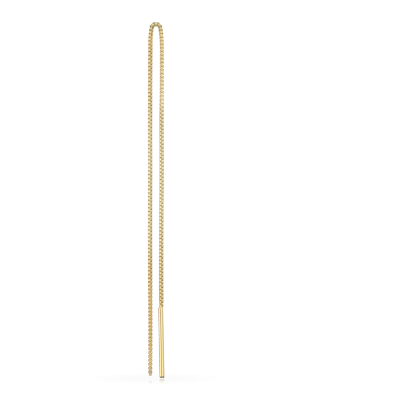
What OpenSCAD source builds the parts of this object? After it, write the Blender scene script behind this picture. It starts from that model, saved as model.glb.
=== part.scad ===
// Threader earring: a fine box chain that hangs over a piercing, with a polished bar on one end.
// Millimetres. The origin is the underside of the chain at the top of its loop, +Z is up, and the
// two strands hang in the XZ plane: the free end on the -X side and the bar on the +X side.

/* [Chain] */
// Width of a link, across its flats
link_w = 0.81; // [0.78:0.01:0.84]
// Width of the flattened wire that a link is bent from
wire_w = 0.44; // [0.42:0.01:0.45]
// Thickness of that wire at its middle
wire_t = 0.14; // [0.12:0.01:0.14]
// Distance along the chain from one link to the next
link_pitch = 0.35; // [0.35:0.01:0.37]
// Width across the flats of the tube that stands for the finest stretch of the chain
tube_w = 0.88; // [0.86:0.01:0.92]
// How far the free end of the chain reaches below the place where it hangs
free_drop = 66.4; // [64:0.1:68]
// Turn of the last link at the free end about its strand
free_turn = 90; // [0:5:90]
// Turn of the link that is soldered to the bar about its strand
bar_turn = 45; // [0:5:90]

/* [Bar] */
// Diameter of the polished bar
bar_d = 0.95; // [0.9:0.01:1]
// Length of the bar
bar_len = 13.4; // [10:0.1:14]
// Bevel at the edges of the bar's two ends
bar_bevel = 0.06; // [0.02:0.01:0.1]
// How far the bar's foot reaches below the place where the chain hangs
bar_drop = 66.8; // [66:0.1:68]
// Lean of the bar from plumb, as it hangs balanced under its link
bar_lean = 1.1; // [0:0.1:2]

/* [Hidden] */
gold = "#e6c07b";
pale_gold = "#f0d590";

// The wire's section is flats set on two equal arcs, with a narrow blunt edge
edge_w = wire_w - 0.04;
dome_r = (pow(wire_w / 2, 2) + pow(wire_t / 2, 2)) / wire_t;
function dome(across) = sqrt(dome_r * dome_r - across * across) - dome_r + wire_t / 2;
bend_r = 0.17;

// Slack between the wires of two linked links, more at the link that the bar swings on
slack = 0.02;
swing_slack = 0.025;
link_len = link_pitch + 2 * wire_t + slack;
half_w = (link_w - wire_t) / 2;
half_len = (link_len - wire_t) / 2;
tube_gap = 0.05;

// The free strand's last links, by the height of each link's lowest point
free_2 = -free_drop;
free_1 = free_2 + link_pitch;
free_0 = free_1 + link_pitch;
free_x = -1.08;
free_tube_end = free_1 + link_len + tube_gap;

// The bar, the link on its top, the wire that this link hangs on, and the links above
bar_x = 1.02;
bar_top = bar_len - bar_drop;
solder_sink = 0.05;
solder_r = 0.3;
solder_h = 0.14;
bar_link = bar_top - solder_sink;
swing_z = bar_link + link_len - wire_t - swing_slack - wire_t / 2;
drop_2 = swing_z - wire_t / 2;
drop_1 = drop_2 + link_pitch;
drop_0 = drop_1 + link_pitch;
drop_tube_end = drop_1 + link_len + tube_gap;

// The chain's middle line from the free end up, over and down to the bar's side, as [x, z]
route = [
    [free_x, free_tube_end],
    [-1.06, -60], [-1.06, -55], [-1.1, -48], [-1.12, -41], [-1.12, -34], [-1.1, -27],
    [-1.12, -20], [-1.1, -14], [-1.08, -8], [-1.06, -4], [-1.04, -2.2], [-0.95, -1.2],
    [-0.85, -0.45], [-0.75, 0], [-0.45, 0.3], [0, 0.4], [0.45, 0.3], [0.75, 0], [0.85, -0.45],
    [0.93, -1.2], [1.04, -2.2], [1.1, -4], [1.1, -8], [1.08, -12], [1.05, -18], [1.07, -25],
    [1.06, -31], [1.02, -37], [1, -44], [1, -50],
    [bar_x, drop_tube_end]
];
tube_sides = 8;
ring_step = 2.6;
last = len(route) - 1;

// Smooth curve through the route: the tangent at a point runs between its two neighbours, scaled
// to the length of the span that is drawn
function tangent(i) =
    let (v = i == 0 || i == last ? [0, i == 0 ? 1 : -1] : route[i + 1] - route[i - 1])
    v / norm(v);
function on_span(i, t) =
    let (a = route[i], b = route[i + 1], l = norm(b - a))
    (2 * t ^ 3 - 3 * t ^ 2 + 1) * a + (t ^ 3 - 2 * t ^ 2 + t) * l * tangent(i)
    + (3 * t ^ 2 - 2 * t ^ 3) * b + (t ^ 3 - t ^ 2) * l * tangent(i + 1);
function rings_in(i) = max(2, ceil(norm(route[i + 1] - route[i]) / ring_step));

centres = concat(
    [for (i = [0 : last - 1], k = [0 : rings_in(i) - 1]) on_span(i, k / rings_in(i))],
    [route[last]]
);
function along(k) =
    let (v = centres[min(k + 1, len(centres) - 1)] - centres[max(k - 1, 0)])
    v / norm(v);

// A tube along the centres, its flats facing front, back and sideways
module swept_tube() {
    n = tube_sides;
    r = tube_w / 2 / cos(180 / n);
    points = [
        for (k = [0 : len(centres) - 1], s = [0 : n - 1])
            let (c = centres[k], t = along(k), a = (s + 0.5) * 360 / n)
            [c[0] + r * cos(a) * t[1], r * sin(a), c[1] - r * cos(a) * t[0]]
    ];
    walls = [
        for (k = [0 : len(centres) - 2], s = [0 : n - 1])
            let (a = k * n + s, b = k * n + (s + 1) % n)
            each [[a, a + n, b], [b, a + n, b + n]]
    ];
    first_cap = [for (s = [0 : n - 1]) s];
    last_cap = [for (s = [n - 1 : -1 : 0]) (len(centres) - 1) * n + s];
    polyhedron(points, concat(walls, [first_cap, last_cap]), convexity = 6);
}

module wire_section() {
    polygon([
        for (face = [1, -1], share = [-0.5, -0.3, -0.1, 0.1, 0.3, 0.5])
            [face * dome(share * edge_w), face * share * edge_w]
    ]);
}

module straight_wire(length) {
    translate([0, 0, -length / 2]) linear_extrude(length) wire_section();
}

module wire_bend() {
    rotate([90, 0, 0]) rotate_extrude(angle = 90, $fn = 48) translate([bend_r, 0]) wire_section();
}

// One link, a rounded rectangle of wire that stands on z_low in a plane turned about the strand
module link(x, z_low, turn) {
    translate([x, 0, z_low + link_len / 2]) rotate([0, 0, turn]) for (half = [0, 180]) {
        rotate([0, half, 0]) {
            translate([half_w, 0, 0]) straight_wire(2 * (half_len - bend_r));
            translate([0, 0, half_len]) rotate([0, 90, 0]) straight_wire(2 * (half_w - bend_r));
            for (m = [0, 1]) mirror([m, 0, 0])
                translate([half_w - bend_r, 0, half_len - bend_r]) wire_bend();
        }
    }
}

// The long plain run of the chain, with a real link at each end for the next link to hang in
module box_chain() {
    color(gold) union() {
        swept_tube();
        link(free_x, free_0, free_turn);
        link(bar_x, drop_0, bar_turn + 90);
    }
}

module free_link_1() {
    color(gold) link(free_x, free_1, free_turn + 90);
}

module free_link_2() {
    color(gold) link(free_x, free_2, free_turn);
}

module drop_link_1() {
    color(gold) link(bar_x, drop_1, bar_turn);
}

module drop_link_2() {
    color(gold) link(bar_x, drop_2, bar_turn + 90);
}

// The bar leans about its own middle, which hangs straight under the link soldered on its top
module bar() {
    bar_r = bar_d / 2;
    color(pale_gold) union() {
        translate([bar_x, 0, bar_len / 2 - bar_drop]) rotate([0, -bar_lean, 0]) {
            rotate_extrude($fn = 96) polygon([
                [0, -bar_len / 2], [bar_r - bar_bevel, -bar_len / 2],
                [bar_r, bar_bevel - bar_len / 2], [bar_r, bar_len / 2 - bar_bevel],
                [bar_r - bar_bevel, bar_len / 2], [0, bar_len / 2]
            ]);
            translate([0, 0, bar_len / 2 - solder_sink])
                cylinder(h = solder_h, r1 = solder_r + solder_sink, r2 = solder_r / 2, $fn = 48);
        }
        link(bar_x, bar_link, bar_turn);
    }
}

box_chain();
free_link_1();
free_link_2();
drop_link_1();
drop_link_2();
bar();
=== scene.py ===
import math

import bpy
import numpy as np
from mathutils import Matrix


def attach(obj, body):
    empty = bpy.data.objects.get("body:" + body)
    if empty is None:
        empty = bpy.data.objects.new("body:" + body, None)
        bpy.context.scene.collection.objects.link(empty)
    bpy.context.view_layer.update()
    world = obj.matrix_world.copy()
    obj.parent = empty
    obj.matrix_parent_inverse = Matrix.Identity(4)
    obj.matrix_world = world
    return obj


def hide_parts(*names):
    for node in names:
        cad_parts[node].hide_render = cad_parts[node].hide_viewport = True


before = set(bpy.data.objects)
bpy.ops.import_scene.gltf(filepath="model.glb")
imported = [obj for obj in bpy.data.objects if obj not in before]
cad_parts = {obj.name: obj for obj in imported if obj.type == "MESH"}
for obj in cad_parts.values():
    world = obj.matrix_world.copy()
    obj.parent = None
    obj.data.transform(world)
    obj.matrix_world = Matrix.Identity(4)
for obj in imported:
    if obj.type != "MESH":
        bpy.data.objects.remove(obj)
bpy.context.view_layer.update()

# The eye
# A long lens, level with the middle of the hanging earring as in the photograph. A pixel of the
# photograph is 0.19 mm, and the place where the chain hangs is at pixel 156, 26.3 of its 400.
mm = 0.001
px = 0.19 * mm
photo_side = 400
hang_across, hang_down = 156, 26.3
lens = bpy.data.cameras.new("long_lens")
lens.lens = 200
lens.sensor_width = 36
lens.clip_start = 0.01
lens.clip_end = 20
eye = bpy.data.objects.new("eye", lens)
eye.location = (
    (photo_side / 2 - hang_across) * px,
    -photo_side * px * lens.lens / lens.sensor_width,
    (hang_down - photo_side / 2) * px,
)
eye.rotation_euler = (math.pi / 2, 0, 0)
bpy.context.scene.collection.objects.link(eye)
bpy.context.scene.camera = eye

# The box chain
# Some 345 links of flattened gold wire, each domed on both faces, bent into a rounded rectangle
# and closed. They hang in one another at a quarter turn, and the whole chain twists slowly. A
# link's upright sides are pressed a little thinner than its ends, so that the next one fits in.
link_pitch = 0.35
link_w = 0.81
wire_w = 0.52
wire_t = 0.16
side_t = 0.143
slack = 0.02
link_len = link_pitch + 2 * wire_t + slack
bend_r = 0.17
bend_steps = 5
section_sides = 12

# The wire's section is an ellipse, made fuller by these powers under 1
face_power = 0.9
edge_power = 0.65

# The last links over the bar are bent from a finer wire, which leaves the bar room to swing
fine_links = 2
fine_w = 0.44
fine_t = 0.14
fine_len = link_pitch + 2 * fine_t + slack

# The middle line of the chain as X and Z in millimetres, from its free end up, over the piercing
# and down to the bar's side. The first and last points are the middles of the last free links.
free_foot = -66.4
bar_x = 1.02
swing_z = -53.035
route = np.array([
    (-1.08, free_foot + link_len / 2),
    (-1.06, -60), (-1.06, -55), (-1.1, -48), (-1.12, -41), (-1.12, -34), (-1.1, -27),
    (-1.12, -20), (-1.1, -14), (-1.08, -8), (-1.06, -4), (-1.04, -2.2), (-0.95, -1.2),
    (-0.85, -0.45), (-0.75, 0), (-0.45, 0.3), (0, 0.4), (0.45, 0.3), (0.75, 0), (0.85, -0.45),
    (0.93, -1.2), (1.04, -2.2), (1.1, -4), (1.1, -8), (1.08, -12), (1.05, -18), (1.07, -25),
    (1.06, -31), (1.02, -37), (1, -44), (1, -50),
    (bar_x, swing_z - fine_t / 2 + fine_len / 2),
])


def smooth_line(points, steps=60):
    """A smooth curve through the points, whose tangent at each runs between its neighbours."""
    tangents = np.vstack([(0, 1), points[2:] - points[:-2], (0, -1)])
    tangents = tangents / np.linalg.norm(tangents, axis=1)[:, None]
    t = np.arange(steps)[:, None] / steps
    line = []
    for a, b, ta, tb in zip(points[:-1], points[1:], tangents[:-1], tangents[1:]):
        span = np.linalg.norm(b - a)
        line.append((2 * t**3 - 3 * t**2 + 1) * a + (t**3 - 2 * t**2 + t) * span * ta
                    + (3 * t**2 - 2 * t**3) * b + (t**3 - t**2) * span * tb)
    return np.vstack(line + [points[-1:]])


line = smooth_line(route)
reach = np.concatenate([[0], np.cumsum(np.linalg.norm(np.diff(line, axis=0), axis=1))])

# How the links lie along that line, as rows of height, the slow turn of the even links in degrees,
# and how far the links have slid on. The free side runs from its foot up, the bar's side down.
free_side = [
    (-66.1, 90, 0), (-61, 81, 0.26), (-51.5, 77, 0.29), (-46, 52, 0.39), (-37, 50, 0.45),
    (-25, 50, 0.47), (-16, 47, 0.62), (-11.5, 68, 0.61), (-7, 58, 0.68), (-4.7, 54, 0.74),
]
bar_side = [
    (-4.7, 90, 0.3), (-13, 80, 0.34), (-17, 48, 0.48), (-25, 42, 0.49), (-34, 37, 0.5),
    (-43, 37, 0.42), (-52.6, 45, 0.35),
]
peak = np.argmax(line[:, 1])
known = np.concatenate([
    np.interp([height for height, turn, slide in free_side], line[:peak, 1], reach[:peak]),
    np.interp([-height for height, turn, slide in bar_side], -line[peak:, 1], reach[peak:]),
])
known_turn = [turn for height, turn, slide in free_side + bar_side]
known_slide = [slide for height, turn, slide in free_side + bar_side]
number = (reach - np.interp(reach, known, known_slide)) / link_pitch
last_link = round(number[-1])
number = number * last_link / number[-1]
top_link = round(number[peak])


def hang_at(count):
    """The point on the middle line at that count of links, straight on past its two ends."""
    over = count - np.clip(count, 0, last_link)
    x = np.interp(count, number, line[:, 0])
    z = np.interp(count, number, line[:, 1]) - np.abs(over) * link_pitch
    return np.array([x, 0, z])


def bent_link(length, flat_w, end_t, upright_t):
    """Points and faces of one link round its middle, its width on X and its length on Z."""
    half_w, half_len = link_w / 2, length / 2
    outer_r = bend_r + end_t / 2
    path = []
    for quarter, (sx, sz) in enumerate([(1, 1), (-1, 1), (-1, -1), (1, -1)]):
        centre = np.array([sx * (half_w - outer_r), sz * (half_len - outer_r)])
        for k in range(bend_steps + 1):
            a = (quarter + k / bend_steps) * math.pi / 2
            way = np.array([math.cos(a), math.sin(a)])
            thick = upright_t + (end_t - upright_t) * way[1] ** 2
            path.append((centre + (outer_r - thick / 2) * way, way * thick / 2))
    a = (np.arange(section_sides) + 0.5) * 2 * math.pi / section_sides
    out = np.sign(np.sin(a)) * np.abs(np.sin(a)) ** face_power
    across = np.sign(np.cos(a)) * np.abs(np.cos(a)) ** edge_power * flat_w / 2
    points = np.array([
        ((p + o * way)[0], c, (p + o * way)[1])
        for p, way in path
        for o, c in zip(out, across)
    ])
    rings, n = len(path), section_sides
    faces = np.array([
        (i * n + j, (i + 1) % rings * n + j, (i + 1) % rings * n + (j + 1) % n, i * n + (j + 1) % n)
        for i in range(rings)
        for j in range(n)
    ])
    inside = np.tile((out < 0).astype(float), rings)
    return points, faces, inside


link_points, link_faces, link_inside = bent_link(link_len, wire_w, wire_t, side_t)
fine_points = bent_link(fine_len, fine_w, fine_t, fine_t)[0]


def hung_links(name, numbers):
    """One mesh of many links, each hung between the middles of the gaps on both sides of it."""
    points, faces, places = [], [], []
    for count, k in enumerate(numbers):
        places.append(k / last_link)
        low, high = hang_at(k - 0.5), hang_at(k + 0.5)
        along = (high - low) / np.linalg.norm(high - low)
        side = np.array([along[2], 0, -along[0]])
        turn = np.interp(np.interp(k, number, reach), known, known_turn)
        a = math.radians(turn + 90 * (k % 2))
        wide = math.cos(a) * side + math.sin(a) * np.array([0, 1, 0])
        deep = np.cross(along, wide)
        shape = fine_points if k > last_link - fine_links else link_points
        points.append((low + high) / 2 + shape @ np.array([wide, deep, along]))
        faces.append(link_faces + count * len(link_points))
    mesh = bpy.data.meshes.new(name)
    mesh.from_pydata(np.vstack(points) * mm, [], np.vstack(faces).tolist())
    mesh.shade_smooth()
    inside = mesh.attributes.new("inside", "FLOAT", "POINT")
    inside.data.foreach_set("value", np.tile(link_inside, len(points)).astype(np.float32))
    along_chain = mesh.attributes.new("along_chain", "FLOAT", "POINT")
    along_chain.data.foreach_set("value", np.repeat(places, len(link_points)).astype(np.float32))
    piece = bpy.data.objects.new(name, mesh)
    bpy.context.scene.collection.objects.link(piece)
    return piece


class Flow:
    """A socket of a material's nodes. Arithmetic on it adds Math nodes."""

    def __init__(self, tree, socket=None):
        self.tree = tree
        self.socket = socket

    def node(self, kind, settings, sockets, out=0):
        """A node with its settings, then the values or links of its sockets, and one output."""
        made = self.tree.nodes.new(kind)
        for name, value in settings.items():
            if name == "stops":
                ramp = made.color_ramp.elements
                while len(ramp) < len(value):
                    ramp.new(1)
                for stop, (place, colour) in zip(ramp, value):
                    stop.position = place
                    stop.color = (*colour, 1)
            else:
                setattr(made, name, value)
        for name, value in sockets.items():
            if isinstance(value, Flow):
                self.tree.links.new(value.socket, made.inputs[name])
            else:
                made.inputs[name].default_value = value
        return Flow(self.tree, made.outputs[out] if made.outputs else None)

    def feed(self, shader, name):
        """Link this socket to a named one of the shader."""
        self.tree.links.new(self.socket, shader.inputs[name])

    def maths(self, operation, first, second):
        """One operation on two values, of which either may be a socket or a number."""
        return self.node("ShaderNodeMath", {"operation": operation}, {0: first, 1: second})

    def __add__(self, other):
        return self.maths("ADD", self, other)

    def __radd__(self, other):
        return self.maths("ADD", other, self)

    def __mul__(self, other):
        return self.maths("MULTIPLY", self, other)

    def __rmul__(self, other):
        return self.maths("MULTIPLY", other, self)

    def tint(self, share, first, second):
        """A colour between two, by a share of the second."""
        return self.node("ShaderNodeMix", {"data_type": "RGBA"}, {0: share, 6: first, 7: second}, out=2)


def plated_gold(name):
    """A bright gold plating, still without its tone and its fine marks."""
    material = bpy.data.materials.new(name)
    material.use_nodes = True
    shader = material.node_tree.nodes["Principled BSDF"]
    shader.inputs["Metallic"].default_value = 1
    return material, shader, Flow(material.node_tree)


# The plating is pale and warm by turns along the chain, as shares of its length and of the warm
# tone. It is duller where it rubs at the free end. Painted shade darkens the inner faces of the
# links, and a painted olive shade darkens the top of the loop over the lobe.
pale_gold = (1, 0.95, 0.69, 1)
warm_gold = (0.84, 0.61, 0.24, 1)
deep_gold = (0.93, 0.7, 0.3, 1)
odd_gold = (0.86, 0.62, 0.26, 1)
shaded_gold = (0.5, 0.3, 0.1, 1)
shaded_olive = (0.55, 0.52, 0.27, 1)
worn_grey = (0.6, 0.52, 0.42, 1)
warmed = [
    (0, 1), (0.13, 0.9), (0.2, 0.3), (0.35, 0), (0.45, 0.6), (0.62, 0.7), (0.72, 0.1), (0.86, 0.1),
    (1, 0.6),
]
drift_share = 0.35
odd_share = 0.15
shade_share = 0.12
wear_and_shade_share = 0.5
lobe_low, lobe_high = -1.4, -0.4
end_low, end_high = -65.4, -64.8
chain_gold, shader, flow = plated_gold("chain_gold")
place = flow.node("ShaderNodeTexCoord", {}, {}, out=3)
height = flow.node("ShaderNodeSeparateXYZ", {}, {0: place}, out=2)
drift = flow.node("ShaderNodeTexNoise", {}, {"Vector": place, "Scale": 180, "Detail": 1})
odd = flow.node("ShaderNodeNewGeometry", {}, {}, out=8)
inside = flow.node("ShaderNodeAttribute", {"attribute_name": "inside"}, {}, out=2)
length_share = flow.node("ShaderNodeAttribute", {"attribute_name": "along_chain"}, {}, out=2)
warm_stops = [(share, (warm, warm, warm)) for share, warm in warmed]
warmth = flow.node("ShaderNodeValToRGB", {"stops": warm_stops}, {"Fac": length_share})
shaded_lobe_top = flow.node("ShaderNodeMapRange", {}, {
    "Value": height, "From Min": lobe_low * mm, "From Max": lobe_high * mm})
free_end = flow.node("ShaderNodeMapRange", {}, {
    "Value": height, "From Min": end_high * mm, "From Max": end_low * mm})
tone = flow.tint(warmth, pale_gold, warm_gold)
tone = flow.tint(drift * drift_share, tone, deep_gold)
tone = flow.tint(odd * odd_share, tone, odd_gold)
# Painted shade on the inner faces of the links
tone = flow.tint(inside * shade_share, tone, shaded_gold)
# Painted shade: the top of the loop over the lobe turns dark olive, where little light falls from above
tone = flow.tint(shaded_lobe_top * wear_and_shade_share, tone, shaded_olive)
tone = flow.tint(free_end * wear_and_shade_share, tone, worn_grey)
tone.feed(shader, "Base Color")
rub = flow.node("ShaderNodeTexNoise", {}, {
    "Vector": place, "Scale": 9000, "Detail": 3, "Roughness": 0.6})
(0.07 + rub * 0.12 + odd * 0.03).feed(shader, "Roughness")
hammer = flow.node("ShaderNodeBump", {}, {"Strength": 0.25, "Distance": 0.002 * mm, "Height": rub})
hammer.feed(shader, "Normal")

free_strand = hung_links("free_strand_links", range(0, top_link))
drop_strand = hung_links("drop_strand_links", range(top_link, last_link + 1))
for strand, node in ((free_strand, "free_link"), (drop_strand, "drop_link")):
    strand.data.materials.append(chain_gold)
    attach(strand, "chain")
    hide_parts("box_chain", node + "_1", node + "_2")

# The bar
# A round rod of solid gold-plated metal, drawn to size, its two ends rounded over by hand and the
# whole polished. It hangs balanced, leaning a little, from the link that is soldered on its top.
bar_r = 0.4735
bar_len = 13.4
bar_foot = -66.8
bar_lean = math.radians(1.1)
rod_sides = 96
rod_rings = 30
rim_steps = 13
round_over = 0.1

# The foot's rim is worn in over worn_up, and its last edge is broken a little more
worn_in = 0.09
worn_up = 0.38
wear_power = 2.5
edge_break = 0.03
break_power = 16

# Two rings on each flat end keep it flat beside its rounded rim
flat_r = 0.15
flat_margin = 0.03


def turned(name, outline, sides, place):
    """A piece turned round its own Z from an outline of (radius, height), closed on the axis."""
    around = np.arange(sides) * 2 * math.pi / sides
    rings = [(r * math.cos(a), r * math.sin(a), z) for r, z in outline[1:-1] for a in around]
    points = np.array([(0, 0, outline[0][1])] + rings + [(0, 0, outline[-1][1])])
    end = len(points) - 1
    faces = [(0, 1 + (j + 1) % sides, 1 + j) for j in range(sides)]
    for i in range(len(outline) - 3):
        low, high = 1 + i * sides, 1 + (i + 1) * sides
        for j in range(sides):
            k = (j + 1) % sides
            faces.append((low + j, low + k, high + k, high + j))
    low = 1 + (len(outline) - 3) * sides
    faces += [(low + j, low + (j + 1) % sides, end) for j in range(sides)]
    mesh = bpy.data.meshes.new(name)
    mesh.from_pydata([place(p) for p in points], [], faces)
    mesh.shade_smooth()
    piece = bpy.data.objects.new(name, mesh)
    bpy.context.scene.collection.objects.link(piece)
    return piece


def leaning(p):
    """From the rod's own middle line to where it hangs, in metres."""
    x = p[0] * math.cos(bar_lean) - p[2] * math.sin(bar_lean)
    z = p[0] * math.sin(bar_lean) + p[2] * math.cos(bar_lean)
    return ((bar_x + x) * mm, p[1] * mm, (bar_foot + bar_len / 2 + z) * mm)


def foot_rim(share):
    """Radius and height of the worn rim, from its top at share 0 to the flat at share 1."""
    worn = worn_in * share**wear_power + edge_break * share**break_power
    return bar_r - worn, worn_up * (1 - share)


def top_rim(share):
    """Radius and height of the rounded rim, from its foot at share 0 to the flat at share 1."""
    a = share * math.pi / 2
    return bar_r - round_over * (1 - math.cos(a)), bar_len - round_over * (1 - math.sin(a))


shares = np.linspace(0, 1, rim_steps)
outline = [(0, 0), (flat_r, 0), (foot_rim(1)[0] - flat_margin, 0)]
outline += [foot_rim(share) for share in shares[::-1]]
outline += [(bar_r, z) for z in np.linspace(worn_up, bar_len - round_over, rod_rings)[1:-1]]
outline += [top_rim(share) for share in shares]
outline += [(top_rim(1)[0] - flat_margin, bar_len), (flat_r, bar_len), (0, bar_len)]
rod = turned("polished_rod", [(r, z - bar_len / 2) for r, z in outline], rod_sides, leaning)

# The soldered link is one of the chain's fine ones, its lower end sunk in the solder
link_sunk = 0.05
link_turn = math.radians(45)
link_across = np.array([math.cos(link_turn), math.sin(link_turn), 0])
upward = np.array([0, 0, 1])
stance = np.array([link_across, np.cross(upward, link_across), upward])
middle = np.array([bar_x, 0, bar_foot + bar_len - link_sunk + fine_len / 2])
mesh = bpy.data.meshes.new("soldered_link")
mesh.from_pydata((middle + fine_points @ stance) * mm, [], link_faces.tolist())
mesh.shade_smooth()
soldered_link = bpy.data.objects.new("soldered_link", mesh)
bpy.context.scene.collection.objects.link(soldered_link)

# The solder has flowed out over the bar's top and up inside the link, in a low dome that a power
# under 1 makes full
solder_r = 0.372
solder_h = 0.23
solder_sunk = 0.03
solder_power = 0.83
solder_narrow = 0.88
solder_sides = 48
solder_steps = 10


def run_up(p):
    """The solder is drawn out along the link it holds, in metres."""
    lengthwise = link_across * (link_across @ p)
    flat = lengthwise + (p - lengthwise) * solder_narrow
    top_x = bar_x - bar_len / 2 * math.sin(bar_lean)
    return ((top_x + flat[0]) * mm, flat[1] * mm, (bar_foot + bar_len + p[2]) * mm)


solder_outline = [(0, -solder_sunk), (solder_r, -solder_sunk)]
for a in np.linspace(0, math.pi / 2, solder_steps):
    r = solder_r * math.cos(a) ** solder_power
    z = solder_h * math.sin(a) ** solder_power
    solder_outline.append((r, z))
solder = turned("solder", solder_outline, solder_sides, run_up)

# Fine drawing lines run down the bar's plating, and over the rim at its foot it is darker and rougher.
# Their noise is stretched out along the bar, where its coordinate is scaled by draw_scale.
bright_gold = (0.97, 0.8, 0.42, 1)
drift_gold = (0.95, 0.76, 0.37, 1)
foot_dark_tone = (0.42, 0.36, 0.22, 1)
foot_blend = 0.08
draw_scale = 0.012
bar_gold, shader, flow = plated_gold("bar_gold")
place = flow.node("ShaderNodeTexCoord", {}, {}, out=3)
drawn = flow.node("ShaderNodeVectorMath", {"operation": "MULTIPLY"}, {0: place, 1: (1, 1, draw_scale)})
lines = flow.node("ShaderNodeTexNoise", {}, {
    "Vector": drawn, "Scale": 26000, "Detail": 3, "Roughness": 0.65})
drift = flow.node("ShaderNodeTexNoise", {}, {"Vector": place, "Scale": 320, "Detail": 2})
height = flow.node("ShaderNodeSeparateXYZ", {}, {0: place}, out=2)
# Darker and rougher over the rim at the foot, from the rim's top down
foot_band = flow.node("ShaderNodeMapRange", {}, {
    "Value": height,
    "From Min": (bar_foot + worn_up) * mm,
    "From Max": (bar_foot + worn_up - foot_blend) * mm})
tone = flow.tint(drift, bright_gold, drift_gold)
tone = flow.tint(foot_band, tone, foot_dark_tone)
tone.feed(shader, "Base Color")
(0.04 + lines * 0.08 + foot_band * 0.15).feed(shader, "Roughness")
grooves = flow.node("ShaderNodeBump", {}, {"Strength": 0.2, "Distance": 0.0015 * mm, "Height": lines})
grooves.feed(shader, "Normal")

# The solder's plating is paler, and ripples a little where it flowed
pale_solder = (0.98, 0.84, 0.5, 1)
dark_solder = (0.92, 0.74, 0.38, 1)
solder_gold, shader, flow = plated_gold("solder_gold")
place = flow.node("ShaderNodeTexCoord", {}, {}, out=3)
flowed = flow.node("ShaderNodeTexNoise", {}, {"Vector": place, "Scale": 5000, "Detail": 2})
flow.tint(flowed, pale_solder, dark_solder).feed(shader, "Base Color")
(0.12 + flowed * 0.14).feed(shader, "Roughness")
ripples = flow.node("ShaderNodeBump", {}, {"Strength": 0.5, "Distance": 0.008 * mm, "Height": flowed})
ripples.feed(shader, "Normal")

for piece, finish in ((rod, bar_gold), (soldered_link, bar_gold), (solder, solder_gold)):
    piece.data.materials.append(finish)
    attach(piece, "bar")
    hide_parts("bar")

# The floor
# A white glossy sheet just under the bar's foot. It glows evenly in the picture, mirrors faintly
# what stands close over it, and lets the studio's light through from below.
floor_side = 6
floor_gap = 0.1
mirror_near, mirror_far = 4, 14
mirror_share = 0.64
white = (1, 1, 1, 1)
bpy.ops.mesh.primitive_plane_add(size=floor_side, location=(0, 0, (bar_foot - floor_gap) * mm))
floor = bpy.context.object
floor.name = "floor"
white_sheet = bpy.data.materials.new("white_sheet")
white_sheet.use_nodes = True
white_sheet.node_tree.nodes.clear()
flow = Flow(white_sheet.node_tree)
glow = flow.node("ShaderNodeEmission", {}, {"Color": white, "Strength": 1})
mirror = flow.node("ShaderNodeBsdfGlossy", {}, {"Color": white, "Roughness": 0.12})
place = flow.node("ShaderNodeTexCoord", {}, {}, out=3)
away = flow.node("ShaderNodeVectorMath", {"operation": "LENGTH"}, {0: place}, out=1)
near = flow.node("ShaderNodeMapRange", {}, {
    "Value": away,
    "From Min": mirror_near * mm,
    "From Max": mirror_far * mm,
    "To Min": mirror_share,
    "To Max": 0})
grazing = flow.node("ShaderNodeFresnel", {}, {"IOR": 1.45})
seen = flow.node("ShaderNodeMixShader", {}, {0: near * grazing, 1: glow, 2: mirror})
through = flow.node("ShaderNodeBsdfTransparent", {}, {})
by_eye = flow.node("ShaderNodeLightPath", {}, {})
sheet = flow.node("ShaderNodeMixShader", {}, {0: by_eye, 1: through, 2: seen})
flow.node("ShaderNodeOutputMaterial", {}, {"Surface": sheet})
floor.data.materials.append(white_sheet)

# The studio
# White cards, dim stretches and dark gaps stand round the earring in three rings, and its polished
# sides pick them up as light and dark stripes. The rest is plain white room, and the picture
# itself shows plain white.
card = 1.2
room = 0.9
dim = 0.6
gap = 0.35
dark = 0.1

# Each row is an angle in degrees from the lens, positive to +X, and what stands there
low_ring = [
    (-180, dim), (-155, room), (-110, dim), (-65, gap), (-20, room), (20, room), (65, dim), (110, dark),
    (155, gap), (180, dim),
]
level_ring = [
    (-180, room), (-160, gap), (-140, gap), (-110, room), (-75, card), (-50, card), (-10, gap),
    (15, room), (35, card), (55, room), (80, dim), (150, dim), (180, room),
]
high_ring = [
    (-180, room), (-110, gap), (-65, dim), (-20, card), (20, room), (65, card), (110, dim),
    (180, room),
]

# The rings lie between these heights of a ball of radius 1 round the earring, the low and the
# level one under its middle and the high one over it, and fade into what is next to them
ring_edge = 0.42
cap_edge = 0.87
edge_blend = 0.05
plain_room = (room, room, room, 1)
studio = bpy.data.worlds.new("studio")
studio.use_nodes = True
studio.node_tree.nodes.clear()
bpy.context.scene.world = studio
flow = Flow(studio.node_tree)
way = flow.node("ShaderNodeTexCoord", {}, {}, out=0)
way_x = flow.node("ShaderNodeSeparateXYZ", {}, {0: way}, out=0)
way_y = flow.node("ShaderNodeSeparateXYZ", {}, {0: way}, out=1)
way_z = flow.node("ShaderNodeSeparateXYZ", {}, {0: way}, out=2)

# The way round the earring runs from 0 to 1, and is 0.5 towards the lens
round_from_lens = 0.5 + flow.maths("ARCTAN2", way_x, -1 * way_y) * (0.5 / math.pi)


def hung_round(ring):
    """The brightness of a ring, by the way round the earring."""
    stops = [(0.5 + angle / 360, (bright, bright, bright)) for angle, bright in ring]
    return flow.node("ShaderNodeValToRGB", {"stops": stops}, {"Fac": round_from_lens})


def above(edge):
    """1 above a ring's edge and 0 below it, blended where they meet."""
    return flow.node("ShaderNodeMapRange", {}, {
        "Value": way_z, "From Min": edge - edge_blend, "From Max": edge + edge_blend})


light = flow.tint(above(-cap_edge), plain_room, hung_round(low_ring))
light = flow.tint(above(-ring_edge), light, hung_round(level_ring))
light = flow.tint(above(0), light, plain_room)
light = flow.tint(above(ring_edge), light, hung_round(high_ring))
light = flow.tint(above(cap_edge), light, plain_room)
glow = flow.node("ShaderNodeBackground", {}, {"Color": light})
plain = flow.node("ShaderNodeBackground", {}, {"Color": white})
by_eye = flow.node("ShaderNodeLightPath", {}, {})
shown = flow.node("ShaderNodeMixShader", {}, {0: by_eye, 1: glow, 2: plain})
flow.node("ShaderNodeOutputWorld", {}, {"Surface": shown})

# The picture keeps its colours as they are, and is as soft as the photograph
bpy.context.scene.view_settings.view_transform = "Standard"
bpy.context.scene.cycles.use_denoising = False
bpy.context.scene.cycles.filter_width = 1.1
